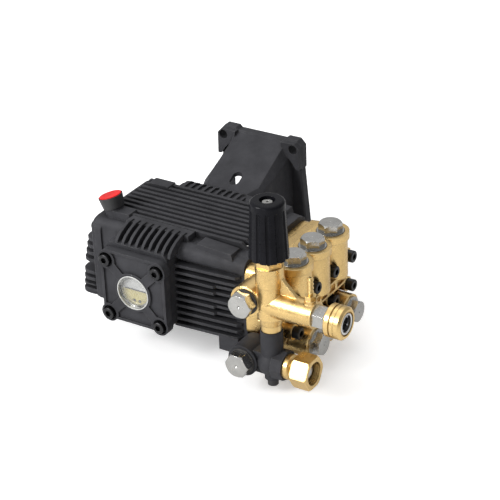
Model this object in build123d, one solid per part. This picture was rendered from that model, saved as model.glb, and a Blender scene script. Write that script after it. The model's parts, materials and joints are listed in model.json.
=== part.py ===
from build123d import *
import os
from math import cos, radians, sin

# Triplex plunger pump for a pressure washer, driven by a 1 inch engine shaft.
# +X runs along the plungers to the brass head, +Y along the crankshaft to the engine flange,
# +Z is up.  Everything is drawn about the point of the crankshaft axis that is level with the
# middle plunger, and written about the centre of the engine flange's face.  Units: mm.

# Driving dimensions
PITCH = 37.25            # distance between plunger centres, along Y
COLUMNS = (-PITCH, 0.0, PITCH)
THROW = 3.5              # eccentricity of the crankshaft, half of the stroke
PHASES = (90.0, 210.0, 330.0)
PLUNGER_R = 9.0
ROD_LENGTH = 62.0        # eccentric centre to wrist pin
RUNNING = 0.05           # radial clearance of every running fit

# Crankcase
CASE_REAR, CASE_FRONT = -72.0, 119.0
CASE_HALF = 56.0
CASE_BOTTOM, CASE_TOP = -42.0, 53.0
CHAMBER_HALF = 48.0
CHAMBER_FRONT = 48.0
FIN_PITCH = 7.9
NEAR_BLOCK_END = -83.7
FAR_BLOCK_END = 68.0
DRAIN = (-40.0, 0.0)       # X, Y of the oil drain
COVER_FACE = -93.7
COVER_SCREW = 32.0       # screws sit at plus and minus this in X and Z
REAR_SCREWS = [(y, z) for y in (-52.0, 52.0) for z in (-40.5, 42.5)]
REAR_CORNER_R = 14.0     # corners of the rear cover
FLANGE_BOLT = 33.0

# Crankshaft
NEAR_JOURNAL_R, FAR_JOURNAL_R = 15.0, 20.0
NEAR_BEARING_R, FAR_BEARING_R = 31.0, 40.0
ECCENTRIC_R = 22.0
ECCENTRIC_WIDTH = 17.0
ENGINE_SHAFT_R = 12.7    # 1 inch engine shaft
KEY_WIDTH = 6.35
SHAFT_END = 150.0

# Engine flange
FLANGE_FACE = 176.3
FLANGE_PLATE = 11.0
FLANGE_X, FLANGE_Z = 46.035, 68.525   # half the hole spacings, a 165.1 mm bolt circle
FLANGE_HOLE_R = 5.5

# Plunger guide
GUIDE_R = 15.0
GUIDE_REAR, FORK_FLOOR, GUIDE_FRONT = 54.0, 80.0, 92.0
STEM_R = 7.5
PLUNGER_REAR, PLUNGER_FRONT = 118.0, 160.0

# Head
BOLT_Y = (-1.5 * PITCH, -0.5 * PITCH, 0.5 * PITCH, 1.5 * PITCH)
BOLT_Z = 17.35
BOLT_SEAT = 173.0
DISCHARGE_X = 163.3
DISCHARGE_TOP = 53.8
SUCTION_Z = -35.6
SUCTION_FACE = 186.0
VALVE_R = 12.0
PACKING_R = 14.0
CHAMBER_R = 10.0
SUCTION_LINE = (133.0, -42.9)      # X, Z of the inlet gallery along Y
DISCHARGE_LINE = (139.4, 28.5)     # X, Z of the outlet gallery along Y
HEAD_HALF = 62.0

# Unloader and fittings
UNLOADER_X, UNLOADER_Y = 161.7, -81.7
TUBE_Z = 27.5
TUBE_END = 214.3
NIPPLE_LENGTH = 14.2
BARB_X = 208.0
EYE_NEAR, EYE_FAR = -93.5, -63.5
BANJO_R = 8.0
COLUMN_TOP = 71.0
GUIDE_TOP = 118.0        # top of the tube in which the spring plate slides
KNOB_BOTTOM, KNOB_TOP = 81.0, 142.5
INLET_Z = -41.5
NUT_START, NUT_LENGTH = 191.0, 19.5
COUPLER_END = 248.5

os.makedirs("parts", exist_ok=True)


def box(x0, x1, y0, y1, z0, z1):
    centre = Pos((x0 + x1) / 2, (y0 + y1) / 2, (z0 + z1) / 2)
    return centre * Box(x1 - x0, y1 - y0, z1 - z0)


def rod_x(radius, x0, x1, y=0.0, z=0.0):
    return Pos((x0 + x1) / 2, y, z) * Rot(0, 90, 0) * Cylinder(radius, x1 - x0)


def rod_y(radius, y0, y1, x=0.0, z=0.0):
    return Pos(x, (y0 + y1) / 2, z) * Rot(90, 0, 0) * Cylinder(radius, y1 - y0)


def rod_z(radius, z0, z1, x=0.0, y=0.0):
    return Pos(x, y, (z0 + z1) / 2) * Cylinder(radius, z1 - z0)


def tube(outer, inner, height):
    """Ring standing on the XY plane."""
    return extrude(Circle(outer) - Circle(inner), height)


def facing_x(x, y, z):
    """Frame whose own +Z points along the pump's +X."""
    return Pos(x, y, z) * Rot(0, 90, 0)


def facing_near(x, y, z):
    """Frame whose own +Z points along the pump's -Y."""
    return Pos(x, y, z) * Rot(90, 0, 0)


def facing_far(x, y, z):
    """Frame whose own +Z points along the pump's +Y."""
    return Pos(x, y, z) * Rot(-90, 0, 0)


def facing_rear(x, y, z):
    """Frame whose own +Z points along the pump's -X."""
    return Pos(x, y, z) * Rot(0, -90, 0)


def hexagon(across_flats, height, turn=0.0):
    """Hexagonal head standing on the XY plane, its top corners chamfered."""
    prism = extrude(RegularPolygon(across_flats / 2, 6, major_radius=False), height)
    disc = Pos(0, 0, height / 2) * Cylinder(across_flats * 0.585, height)
    disc = chamfer(disc.edges().sort_by(Axis.Z)[-1], across_flats * 0.075)
    return Rot(0, 0, turn) * (prism & disc)


def cap_screw(size, length):
    """Socket head cap screw: head above the XY plane, shank below it."""
    head = Pos(0, 0, size / 2) * Cylinder(size * 0.81, size)
    head = chamfer(head.edges().sort_by(Axis.Z)[-1], size * 0.08)
    socket = Pos(0, 0, size * 0.5) * extrude(RegularPolygon(size * 0.39, 6, major_radius=False), size * 0.5)
    shank = Pos(0, 0, -length / 2) * Cylinder(size / 2, length)
    return head - socket + shank


def flat_screw(size, length):
    """Countersunk socket screw lying wholly below the XY plane."""
    screw = Pos(0, 0, -size / 4) * Cone(size / 2, size * 0.95, size / 2)
    screw -= Pos(0, 0, -size * 0.3) * extrude(RegularPolygon(size * 0.3, 6, major_radius=False), size * 0.3)
    return screw + Pos(0, 0, -length / 2 - size / 4) * Cylinder(size / 2, length - size / 2)


def prism_y(points, y0, y1):
    """Extrudes a closed X, Z outline along Y."""
    face = make_face(Polyline(*[(x, 0.0, z) for x, z in points], close=True))
    return Pos(0, y0, 0) * extrude(face, amount=y1 - y0, dir=(0, 1, 0))


def prism_x(points, x0, x1):
    """Extrudes a closed Y, Z outline along X."""
    face = make_face(Polyline(*[(0.0, y, z) for y, z in points], close=True))
    return Pos(x0, 0, 0) * extrude(face, amount=x1 - x0, dir=(1, 0, 0))


def prism_z(points, z0, z1):
    """Extrudes a closed X, Y outline along Z."""
    face = make_face(Polyline(*points, close=True))
    return Pos(0, 0, z0) * extrude(face, amount=z1 - z0, dir=(0, 0, 1))


def ring_y(outer, inner, y0, y1):
    return rod_y(outer, y0, y1) - rod_y(inner, y0 - 1, y1 + 1)


def save(shape, node):
    """Writes one piece, moved so that the engine flange's face is at Y = 0."""
    shape = Pos(0, -FLANGE_FACE, 0) * shape
    shape.label = node
    export_step(shape, f"parts/{node}.step")


def group(shapes):
    return Compound(children=list(shapes))


def eccentric(index):
    """X and Z of one eccentric's centre at rest."""
    angle = radians(PHASES[index])
    return THROW * cos(angle), THROW * sin(angle)


# --- crankcase ---------------------------------------------------------------

def shoulder_fin(x, side):
    """One curved fin over a bearing block; side is -1 for the cover side, +1 for the engine."""
    if side < 0:
        end, crest = -NEAR_BLOCK_END, 62.5
        outline = [(44, 46), (44, 58), (52, crest), (end - 24, crest), (end - 15, 59.5),
                   (end - 7, 55.5), (end - 2, 51), (end - 0.3, 46)]
    else:
        end, crest = FAR_BLOCK_END, 58.4
        outline = [(44, 46), (44, 58), (50, crest), (56, crest), (62, 56), (end - 1, 50), (end - 0.3, 46)]
    return prism_x([(side * y, z) for y, z in outline], x - 1.6, x + 1.6)


def side_fins(side):
    fins = []
    for row in range(10):
        z = 32.5 - row * FIN_PITCH
        step = 3.0 if row in (2, 3, 5, 6) else 0.0
        root = 71.5 if side < 0 else FAR_BLOCK_END
        outline = [(36, 50), (36, root), (84, min(root, 68.6)), (86, 68.4 - step), (110, 66.4 - step),
                   (114, 62), (114, 50)]
        fins.append(prism_z([(x, side * y) for x, y in outline], z - 1.5, z + 1.5))
    return fins


def shoulder_bar(side):
    """Smooth round bar that closes the top of the side fins."""
    start, end = Vector(34, side * 58, 45), Vector(CASE_FRONT, side * 52, 40.5)
    along = end - start
    bar = Plane(origin=start, z_dir=along) * Pos(0, 0, along.length / 2) * Cylinder(10.5, along.length)
    return bar & box(30, CASE_FRONT, -FAR_BLOCK_END, FAR_BLOCK_END, 0, 80)


def crankcase():
    core = box(CASE_REAR, CASE_FRONT, -CASE_HALF, CASE_HALF, CASE_BOTTOM, CASE_TOP)
    core = fillet(core.edges().filter_by(Axis.X), 9)
    near = box(-38, 39, NEAR_BLOCK_END, -46, -40, 48.5)
    near = fillet(near.edges().filter_by(Axis.Y), 8)
    far = box(-46, 48, 46, FAR_BLOCK_END, -44, 48.5)
    far = fillet(far.edges().filter_by(Axis.Y), 8)
    front = box(106, CASE_FRONT, -60, 60, -46, 49)
    front = fillet(front.edges().filter_by(Axis.X), 8)
    rear = box(CASE_REAR, -64, -58, 58, -50, 52)
    rear = fillet(rear.edges().filter_by(Axis.X), REAR_CORNER_R)
    parts = [core, near, far, front, rear]
    for side in (-1, 1):
        parts += [shoulder_fin(-25 + 8.3 * i, side) for i in range(9)]
        parts += side_fins(side)
        parts.append(shoulder_bar(side))
        top = 61 if side < 0 else 56
        parts.append(box(-30, 48, min(side * 43, side * 56), max(side * 43, side * 56), 48, top))
        parts.append(box(88, 112, min(side * 46, side * 68), max(side * 46, side * 68), -56, -38))
    for i in range(10):
        y = -38.7 + 8.6 * i
        parts.append(prism_y([(-71, 48), (-70, 53), (-65, 60), (103, 60), (113, 50)], y - 1.9, y + 1.9))
    for start, end in ((-46, -31), (28, 42)):
        parts.append(prism_y([(-64, 50), (-59, 61.4), (-34, 61.4), (-30, 50)], start, end))
    parts.append(prism_y([(60, 44), (62, 58.5), (103, 56), (106, 44)], -61, -44))
    parts.append(prism_y([(60, 44), (62, 58.5), (103, 56), (106, 44)], 44, 61))
    neck = Pos(-58.5, -36.4, 57) * Rot(0, -17, 0) * Pos(0, 0, -2) * Cylinder(10.6, 13)
    drain = rod_z(8, -46, -36, *DRAIN)
    case = Part() + parts + [neck, drain]
    cuts = [
        box(CASE_REAR - 1, CHAMBER_FRONT, -CHAMBER_HALF, CHAMBER_HALF, -37, 47),
        rod_y(NEAR_BEARING_R, NEAR_BLOCK_END - 1, 0),
        rod_y(FAR_BEARING_R, 0, FAR_BLOCK_END + 1),
        Pos(-58.5, -36.4, 57) * Rot(0, -17, 0) * Pos(0, 0, -3) * Cylinder(8.05, 30),
    ]
    for y in COLUMNS:
        cuts.append(rod_x(GUIDE_R + RUNNING, 30, 100, y))
        cuts.append(rod_x(STEM_R + 1.0, 90, 130, y))
        cuts.append(rod_x(12, 107, 130, y))
    for x in (-COVER_SCREW, COVER_SCREW):
        for z in (-COVER_SCREW, COVER_SCREW):
            cuts.append(rod_y(4, NEAR_BLOCK_END - 1, -66, x, z))
    for x in (-FLANGE_BOLT, FLANGE_BOLT):
        for z in (-FLANGE_BOLT, FLANGE_BOLT):
            cuts.append(rod_y(4, 54, FAR_BLOCK_END + 1, x, z))
    for y in BOLT_Y:
        for z in (-BOLT_Z, BOLT_Z):
            cuts.append(rod_x(4, 101, 130, y, z))
    cuts += [rod_x(2.5, CASE_REAR - 1, -64.5, y, z) for y, z in REAR_SCREWS]
    for side in (-1, 1):
        cuts.append(rod_z(4, -60, -42, 100, side * 58))
    cuts.append(rod_z(5, -50, -30, *DRAIN))
    return case - cuts


def rear_cover():
    """Flat plate with a low dome; its two groups of fins stand further out towards the bottom."""
    plate = box(CASE_REAR - 5, CASE_REAR, -58, 58, -50, 52)
    plate = fillet(plate.edges().filter_by(Axis.X), REAR_CORNER_R)
    plate = chamfer(plate.faces().sort_by(Axis.X)[0].edges(), 1.5)
    dome = box(-85, -76, -44, 44, -46, 22)
    cover = plate + fillet(dome.edges().filter_by(Axis.X), 8)
    for first, reach, slope in ((17.5, 2.1, 0.139), (-20.5, 3.0, 0.063)):
        for row in range(4):
            z = first - row * FIN_PITCH
            out = reach - slope * z
            near_edge = [(-76, -45.5), (-84, -45.5 - out), (-88 - out, -45.5 - out), (-93 - out, -43.7 - out),
                         (-96.3 - out, -40.3 - out), (-98 - out, -35 - out)]
            far_edge = [(x, -y) for x, y in reversed(near_edge)]
            cover += prism_z(near_edge + far_edge, z - 1.9, z + 1.9)
    cuts = [box(-81, CASE_REAR + 1, -40, 40, -37, 18)]
    for y, z in REAR_SCREWS:
        cuts.append(rod_x(2.6, CASE_REAR - 6, CASE_REAR + 1, y, z))
        cuts.append(facing_rear(CASE_REAR - 5, y, z) * Pos(0, 0, -1.25) * Cone(2.6, 4.85, 2.5))
        cuts.append(rod_x(4.9, CASE_REAR - 40, CASE_REAR - 5, y, z))
    return cover - cuts


def rear_cover_screws():
    return group(facing_rear(CASE_REAR - 5, y, z) * flat_screw(5, 12) for y, z in REAR_SCREWS)


def bell_section(y, narrow_x, wide_x, low_z, high_z):
    """Eight sided section of the bell: half width narrow_x at height high_z, wide_x at height low_z."""
    corners = [(narrow_x, high_z), (wide_x, low_z), (wide_x, -low_z), (narrow_x, -high_z),
               (-narrow_x, -high_z), (-wide_x, -low_z), (-wide_x, low_z), (-narrow_x, high_z)]
    return make_face(Polyline(*[(x, y, z) for x, z in corners], close=True))


def engine_flange():
    plate_front = FLANGE_FACE - FLANGE_PLATE
    base = box(-47, 47, FAR_BLOCK_END, 78, -46, 46)
    base = fillet(base.edges().filter_by(Axis.Y), 7)
    outer = [bell_section(78, 21, 36, 21, 34), bell_section(88, 21, 36.5, 21, 35),
             bell_section(106, 33, 38, 36, 42), bell_section(plate_front - 9, 32, 39, 54, 66),
             bell_section(plate_front, 34, 41, 56, 72.5)]
    inner = [bell_section(77.9, 18, 32, 18, 30.5), bell_section(88, 18, 32.5, 18, 31),
             bell_section(106, 29.5, 34.5, 33, 38.5), bell_section(FLANGE_FACE + 0.1, 28.5, 35.5, 51, 63)]
    edge, side, half_z = 52.5, 58.5, 77.5
    outline = [(-side, -28), (-edge - 1.5, -46), (-edge - 1.5, -71), (-48, -half_z), (-33, -half_z),
               (-30, -half_z + 3), (30, -half_z + 3), (33, -half_z), (48, -half_z), (edge + 1.5, -71),
               (edge + 1.5, -46), (side, -28), (edge, 42), (edge + 1.5, 44), (edge + 1.5, 71),
               (48, half_z), (33, half_z), (30, half_z - 3), (-30, half_z - 3), (-33, half_z),
               (-48, half_z), (-edge - 1.5, 71), (-edge - 1.5, 44), (-edge, 42)]
    plate = prism_y(outline, plate_front, FLANGE_FACE)
    plate = chamfer(plate.faces().sort_by(Axis.Y)[0].edges(), 1.5)
    flange = base + loft(outer, ruled=True) + plate
    lug = [(30, 75), (48, 76), (53.5, 70.5), (54, 44.5), (50, 44.5), (43, 54), (36, 60), (31, 67)]
    for side_x in (-1, 1):
        for side_z in (-1, 1):
            corner = [(side_x * x, side_z * z) for x, z in lug]
            flange += prism_y(corner, plate_front - 6, plate_front + 1)
    flange -= loft(inner, ruled=True)
    flange -= rod_y(28, 60, 90)
    slot_x, slot_start, slot_end, slot_r = 0.6, 107.5, 113.5, 5.8
    flange -= rod_z(slot_r, 30, 80, slot_x, slot_start) + rod_z(slot_r, 30, 80, slot_x, slot_end)
    flange -= box(slot_x - slot_r, slot_x + slot_r, slot_start, slot_end, 30, 80)
    window = box(-60, -30, 124, 163, -28, 28)
    flange -= fillet(window.edges().filter_by(Axis.X), 8)
    flange -= loft([bell_section(plate_front - 1, 28, 35.7, 45, 60), bell_section(FLANGE_FACE + 0.1, 32, 46, 45, 63)],
                   ruled=True)
    for side_x in (-1, 1):
        for side_z in (-1, 1):
            flange -= rod_y(FLANGE_HOLE_R, 150, FLANGE_FACE + 1, side_x * FLANGE_X, side_z * FLANGE_Z)
            flange -= rod_y(4.2, 60, 90, side_x * FLANGE_BOLT, side_z * FLANGE_BOLT)
    return flange + ring_y(32, 27, FAR_BLOCK_END, 78)


def flange_bolts():
    places = [(x, z) for x in (-1, 1) for z in (-1, 1)]
    return group(facing_far(FLANGE_BOLT * x, 78, FLANGE_BOLT * z) * cap_screw(8, 23) for x, z in places)


def side_cover():
    plate = box(-39, 41, COVER_FACE, NEAR_BLOCK_END, -38, 44)
    plate = fillet(plate.edges().filter_by(Axis.Y), 9)
    for x in (-COVER_SCREW, COVER_SCREW):
        for z in (-COVER_SCREW, COVER_SCREW):
            plate += rod_y(10.3, COVER_FACE, NEAR_BLOCK_END, x, z)
    plate = plate + ring_y(NEAR_BEARING_R - 0.1, 26, NEAR_BLOCK_END, -64.3)
    # recessed panels leave a ring round the window, four arms and a raised edge
    recess = box(-36, 38, COVER_FACE - 1, COVER_FACE + 2.2, -35, 41)
    keep = [rod_y(22.5, COVER_FACE - 2, -80)]
    for x in (-COVER_SCREW, COVER_SCREW):
        for z in (-COVER_SCREW, COVER_SCREW):
            keep.append(rod_y(11, COVER_FACE - 2, -80, x, z))
    for turn in (45, 135):
        keep.append(Pos(0, -88, 0) * Rot(0, turn, 0) * Box(84, 20, 11))
    plate -= recess - keep
    plate -= rod_y(16.5, COVER_FACE - 1, -80)
    plate -= rod_y(19.6, COVER_FACE - 1, COVER_FACE + 6.5)
    for x in (-COVER_SCREW, COVER_SCREW):
        for z in (-COVER_SCREW, COVER_SCREW):
            plate -= rod_y(8.2, COVER_FACE - 1, COVER_FACE + 4, x, z)
            plate -= rod_y(4.2, COVER_FACE - 1, NEAR_BLOCK_END + 1, x, z)
    return plate


def side_cover_screws():
    places = [(x, z) for x in (-COVER_SCREW, COVER_SCREW) for z in (-COVER_SCREW, COVER_SCREW)]
    return group(facing_near(x, COVER_FACE + 4, z) * cap_screw(8, 20) for x, z in places)


# --- crank train -------------------------------------------------------------

def crankshaft():
    shaft = rod_y(NEAR_JOURNAL_R, -68, -CHAMBER_HALF)
    shaft += rod_y(17, -CHAMBER_HALF + 0.6, CHAMBER_HALF - 0.6)
    shaft += rod_y(NEAR_JOURNAL_R, -50, -40)
    shaft += rod_y(FAR_JOURNAL_R, CHAMBER_HALF - 1, SHAFT_END)
    for index, y in enumerate(COLUMNS):
        x, z = eccentric(index)
        shaft += rod_y(ECCENTRIC_R, y - ECCENTRIC_WIDTH / 2, y + ECCENTRIC_WIDTH / 2, x, z)
    shaft -= rod_y(ENGINE_SHAFT_R, 86, SHAFT_END + 1)
    keyway = box(-KEY_WIDTH / 2, KEY_WIDTH / 2, 86, SHAFT_END + 1, 0, ENGINE_SHAFT_R + 3.2)
    return shaft - keyway


def bearing(inner, outer, y0, y1):
    """Shielded ball bearing: its races stand proud of the two recessed shields."""
    third = (outer - inner) / 3.4
    ring = ring_y(outer, inner + RUNNING, y0, y1)
    groove = ring_y(outer - third, inner + third, 0, 1.2)
    return ring - Pos(0, y0 - 0.2, 0) * groove - Pos(0, y1 - 1.0, 0) * groove


def con_rod(index):
    x, z = eccentric(index)
    y = COLUMNS[index]
    half = 7.5
    tip = x + ROD_LENGTH
    big_end = rod_y(ECCENTRIC_R + 7, y - half, y + half, x, z)
    arm = prism_y([(x + 20, z - 10), (tip, z - 6.5), (tip, z + 6.5), (x + 20, z + 10)], y - 5, y + 5)
    eye = rod_y(9, y - half, y + half, tip, z)
    rod = big_end + arm + eye
    rod -= rod_y(ECCENTRIC_R + RUNNING, y - 20, y + 20, x, z)
    rod -= rod_y(6, y - 20, y + 20, tip, z)
    return rod


def wrist_pin(index):
    x, z = eccentric(index)
    y = COLUMNS[index]
    pin = rod_y(6, y - 7.5, y + 7.5, x + ROD_LENGTH, z)
    return pin - rod_y(3, y - 20, y + 20, x + ROD_LENGTH, z)


def plunger_guide(index):
    shift = eccentric(index)[0]
    y = COLUMNS[index]
    guide = rod_x(GUIDE_R, GUIDE_REAR + shift, GUIDE_FRONT + shift, y)
    guide -= box(GUIDE_REAR + shift - 1, FORK_FLOOR + shift, y - 8, y + 8, -20, 20)
    guide -= rod_y(6.05, y - 20, y + 20, ROD_LENGTH + shift, 0)
    return guide + rod_x(STEM_R, GUIDE_FRONT + shift - 1, PLUNGER_REAR + shift, y)


def plunger(index):
    shift = eccentric(index)[0]
    body = rod_x(PLUNGER_R, PLUNGER_REAR + shift, PLUNGER_FRONT + shift, COLUMNS[index])
    return chamfer(body.edges().sort_by(Axis.X)[-1], 1.0)


def plunger_seals():
    """Oil seals in the crankcase wall and water packings in the head, three of each kind."""
    solids = []
    for y in COLUMNS:
        solids.append(facing_x(107, y, 0) * tube(12, STEM_R + RUNNING, 7))
        solids.append(facing_x(121, y, 0) * tube(PACKING_R, PLUNGER_R + RUNNING, 6))
        solids.append(facing_x(139, y, 0) * tube(PACKING_R, PLUNGER_R + RUNNING, 6))
    return group(solids)


def packing_retainers():
    """Brass lantern ring between the two packings and the support ring in front of them."""
    solids = []
    for y in COLUMNS:
        lantern = tube(PACKING_R, PLUNGER_R + 0.2, 12) - Pos(0, 0, 6) * Cylinder(11.5, 6)
        solids.append(facing_x(127, y, 0) * lantern)
        solids.append(facing_x(145, y, 0) * tube(PACKING_R, PLUNGER_R + 0.2, 5))
    return group(solids)


# --- head --------------------------------------------------------------------

def pump_head():
    plate = box(CASE_FRONT, 133, -HEAD_HALF, HEAD_HALF, -34, 46)
    plate = fillet(plate.edges().filter_by(Axis.X), 9)
    core = prism_y([(130, -44), (130, 49), (140, 50), (163, 47), (163, -30), (156, -44)], -56, 56)
    parts = [plate, core]
    for y in COLUMNS:
        boss = rod_z(17.9, 2, DISCHARGE_TOP, DISCHARGE_X, y)
        boss += Pos(DISCHARGE_X, y, -4) * Cone(11, 17.9, 12)
        boss += rod_z(19.8, DISCHARGE_TOP - 8, DISCHARGE_TOP, DISCHARGE_X, y)
        parts.append(boss)
        parts.append(rod_x(17, 128, SUCTION_FACE, y, SUCTION_Z))
    limits = box(CASE_FRONT, 200, -HEAD_HALF, HEAD_HALF, -60, 60)
    for y in BOLT_Y:
        for z in (-BOLT_Z, BOLT_Z):
            parts.append(rod_x(8.2, CASE_FRONT, BOLT_SEAT, y, z) & limits)
    parts.append(rod_y(14, -HEAD_HALF, HEAD_HALF, *SUCTION_LINE))
    parts.append(rod_y(12, -HEAD_HALF, HEAD_HALF, *DISCHARGE_LINE))
    band = box(150, 177, -44, 44, -8, 5)
    parts.append(fillet(band.edges().filter_by(Axis.X), 2))
    head = Part() + parts
    for i in range(5):
        y = -32 + 16 * i
        head -= box(174.5, 180, y - 6, y + 6, -5.5, 2.5)
    cuts = [rod_y(8, -HEAD_HALF - 1, HEAD_HALF + 1, *SUCTION_LINE),
            rod_y(6, -HEAD_HALF - 1, HEAD_HALF + 1, *DISCHARGE_LINE)]
    for side in (-1, 1):
        mouth = sorted((side * (HEAD_HALF - 12), side * (HEAD_HALF + 1)))
        cuts.append(rod_y(BANJO_R, *mouth, *SUCTION_LINE))
        cuts.append(rod_y(7, *mouth, *DISCHARGE_LINE))
    for y in COLUMNS:
        cuts.append(rod_x(PACKING_R, CASE_FRONT - 1, 150, y))
        cuts.append(rod_x(CHAMBER_R, 145, 171, y))
        cuts.append(rod_z(7, SUCTION_Z, 20, DISCHARGE_X, y))
        cuts.append(rod_z(VALVE_R, 14, DISCHARGE_TOP + 1, DISCHARGE_X, y))
        cuts.append(rod_z(15, DISCHARGE_TOP - 1.5, DISCHARGE_TOP + 1, DISCHARGE_X, y))
        cuts.append(rod_x(VALVE_R, 146, SUCTION_FACE + 1, y, SUCTION_Z))
        cuts.append(rod_x(6.5, SUCTION_LINE[0], 150, y, SUCTION_Z - 3))
        cuts.append(rod_x(5, DISCHARGE_LINE[0], 155, y, DISCHARGE_LINE[1]))
    for y in BOLT_Y:
        for z in (-BOLT_Z, BOLT_Z):
            cuts.append(rod_x(4.2, CASE_FRONT - 1, BOLT_SEAT + 1, y, z))
            cuts.append(rod_x(7.2, BOLT_SEAT, BOLT_SEAT + 20, y, z))
    return head - cuts


def head_bolts():
    places = [(y, z) for y in BOLT_Y for z in (-BOLT_Z, BOLT_Z)]
    return group(facing_x(BOLT_SEAT, y, z) * cap_screw(8, BOLT_SEAT - 101.5) for y, z in places)


def valve_frames():
    """One frame per valve, its own +Z pointing the way the water flows, origin on the seat's rear."""
    frames = [facing_x(146, y, SUCTION_Z) for y in COLUMNS]
    return frames + [Pos(DISCHARGE_X, y, 14) for y in COLUMNS]


def valve_seat():
    return tube(VALVE_R, 6.5, 5)


def valve_poppet():
    """Flat disc valve with a short round guide."""
    disc = Pos(0, 0, 6.25) * Cylinder(7.6, 2.5)
    return disc + Pos(0, 0, 8.5) * Cylinder(3.0, 3)


def valve_cage():
    """Crown that holds the spring and stops the poppet's lift."""
    cage = tube(VALVE_R, 9.2, 11.5) + Pos(0, 0, 9.5) * (tube(10, 3.1, 2))
    for turn in (0, 60, 120):
        cage -= Rot(0, 0, turn) * Pos(0, 0, 4.5) * Box(40, 7, 5)
    return Pos(0, 0, 5) * cage


def cap(body_length, across_flats, head_height, turn):
    """Threaded plug with a round collar and a hexagon head, the collar on the XY plane."""
    plug = Pos(0, 0, -body_length / 2) * Cylinder(VALVE_R, body_length)
    plug -= Pos(0, 0, -body_length) * Cylinder(8, body_length)
    collar = Pos(0, 0, 1) * Cylinder(14.6, 2)
    head = Pos(0, 0, 2) * hexagon(across_flats, head_height, turn)
    head -= Pos(0, 0, 2 + head_height) * Cone(0.1, 1.8, 1.6)
    return plug + collar + head


def discharge_caps():
    return group(Pos(DISCHARGE_X, y, DISCHARGE_TOP - 1.5) * cap(21, 22, 9, 33) for y in COLUMNS)


def suction_caps():
    return group(facing_x(SUCTION_FACE, y, SUCTION_Z) * cap(22, 22, 9, 0) for y in COLUMNS)


# --- unloader, inlet and outlet ----------------------------------------------

def unloader_body():
    x, y = UNLOADER_X, UNLOADER_Y
    column = rod_z(13.6, 12, COLUMN_TOP, x, y) + rod_z(14.6, 49, COLUMN_TOP, x, y)
    lower = Pos(x, y, 11) * Cone(11.6, 13.6, 12)
    outlet = rod_x(14.0, x - 3, TUBE_END, y, TUBE_Z)
    eye = rod_y(17, EYE_NEAR, EYE_FAR, *DISCHARGE_LINE)
    link = box(DISCHARGE_LINE[0], x, -91, -69, 17, 39)
    gusset = prism_y([(170, 38), (170, 60), (175, 60), (194, 41), (194, 38)], y - 2.2, y + 2.2)
    barb_boss = rod_z(6.3, TUBE_Z, 44.5, BARB_X, y)
    body = column + [lower, outlet, eye, link, gusset, barb_boss]
    body -= rod_z(8.5, 20, COLUMN_TOP + 1, x, y)
    body -= rod_z(6, 4, 30, x, y)
    body -= rod_z(8.4, 4, 12, x, y)
    body -= rod_x(6.5, x, TUBE_END + 1, y, TUBE_Z)
    body -= rod_x(9, TUBE_END - 12, TUBE_END + 1, y, TUBE_Z)
    body -= rod_x(4.5, DISCHARGE_LINE[0], x, y, TUBE_Z)
    body -= rod_y(BANJO_R + 1.5, EYE_NEAR - 1, EYE_FAR + 1, *DISCHARGE_LINE)
    return body - rod_z(3.5, TUBE_Z, 60, BARB_X, y)


def unloader_collar():
    """Brass hexagon guide screwed into the column; the knob turns round its upper tube."""
    collar = Pos(0, 0, COLUMN_TOP) * hexagon(25, 7) + rod_z(12, COLUMN_TOP + 7, GUIDE_TOP)
    collar += rod_z(8.5, COLUMN_TOP - 15, COLUMN_TOP)
    collar -= rod_z(5.0, COLUMN_TOP - 16, COLUMN_TOP + 5)
    collar -= rod_z(9.6, COLUMN_TOP + 4.5, GUIDE_TOP + 1)
    return Pos(UNLOADER_X, UNLOADER_Y, 0) * collar


def unloader_knob():
    """Adjusting knob, open below, with twelve flutes that end in arches under its smooth top ring."""
    bottom_r, top_r, flute_top, flute_r = 20.3, 17.4, 132.0, 2.7
    height = KNOB_TOP - KNOB_BOTTOM
    knob = Pos(0, 0, KNOB_BOTTOM + height / 2) * Cone(bottom_r, top_r, height)
    knob = fillet(knob.edges().sort_by(Axis.Z)[-1], 3.5)
    length = flute_top - KNOB_BOTTOM + 2
    middle = flute_top - length / 2
    surface = bottom_r - (bottom_r - top_r) * (middle - KNOB_BOTTOM) / height
    flute = Cylinder(flute_r, length) + Pos(0, 0, length / 2) * Sphere(flute_r)
    flute = Pos(surface + 1.2, 0, middle) * Rot(0, -2.7, 0) * flute
    for i in range(12):
        knob -= Rot(0, 0, 30 * i) * flute
    knob -= rod_z(14.5, KNOB_BOTTOM - 1, 128)
    knob -= rod_z(8, 137.5, 150)
    knob -= rod_z(4, 127, 138)
    return Pos(UNLOADER_X, UNLOADER_Y, 0) * knob


def unloader_screw():
    """Steel screw held in the knob; its shank guides the spring plate."""
    screw = rod_z(4, 122, 137.5) + Pos(0, 0, 137.5) * hexagon(10, 3)
    screw += rod_z(13.5, 124, 128)
    return Pos(UNLOADER_X, UNLOADER_Y, 0) * (screw - rod_z(1.2, 139, 142))


def unloader_spring_plate():
    plate = rod_z(9.3, 110, 114) + rod_z(4, 114, 118)
    return Pos(UNLOADER_X, UNLOADER_Y, 0) * plate


def unloader_spring():
    helix = Helix(pitch=6.0, height=29.5, radius=7.2)
    wire = sweep(Plane(origin=helix @ 0, z_dir=helix % 0) * Circle(1.4), path=helix)
    return Pos(UNLOADER_X, UNLOADER_Y, 78.8) * wire


def unloader_piston():
    piston = rod_z(4.9, 32, 76) + rod_z(7.5, 24, 32) + rod_z(7.5, 75.7, 77.2)
    return Pos(UNLOADER_X, UNLOADER_Y, 0) * piston


def bypass_tube():
    """Brass tube with a round collar, between the unloader and the inlet body."""
    tube_body = rod_z(8.35, -30, 11.9) + rod_z(10.6, -2.8, 4.8) - rod_z(6, -31, 13)
    return Pos(UNLOADER_X, UNLOADER_Y, 0) * tube_body


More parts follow.
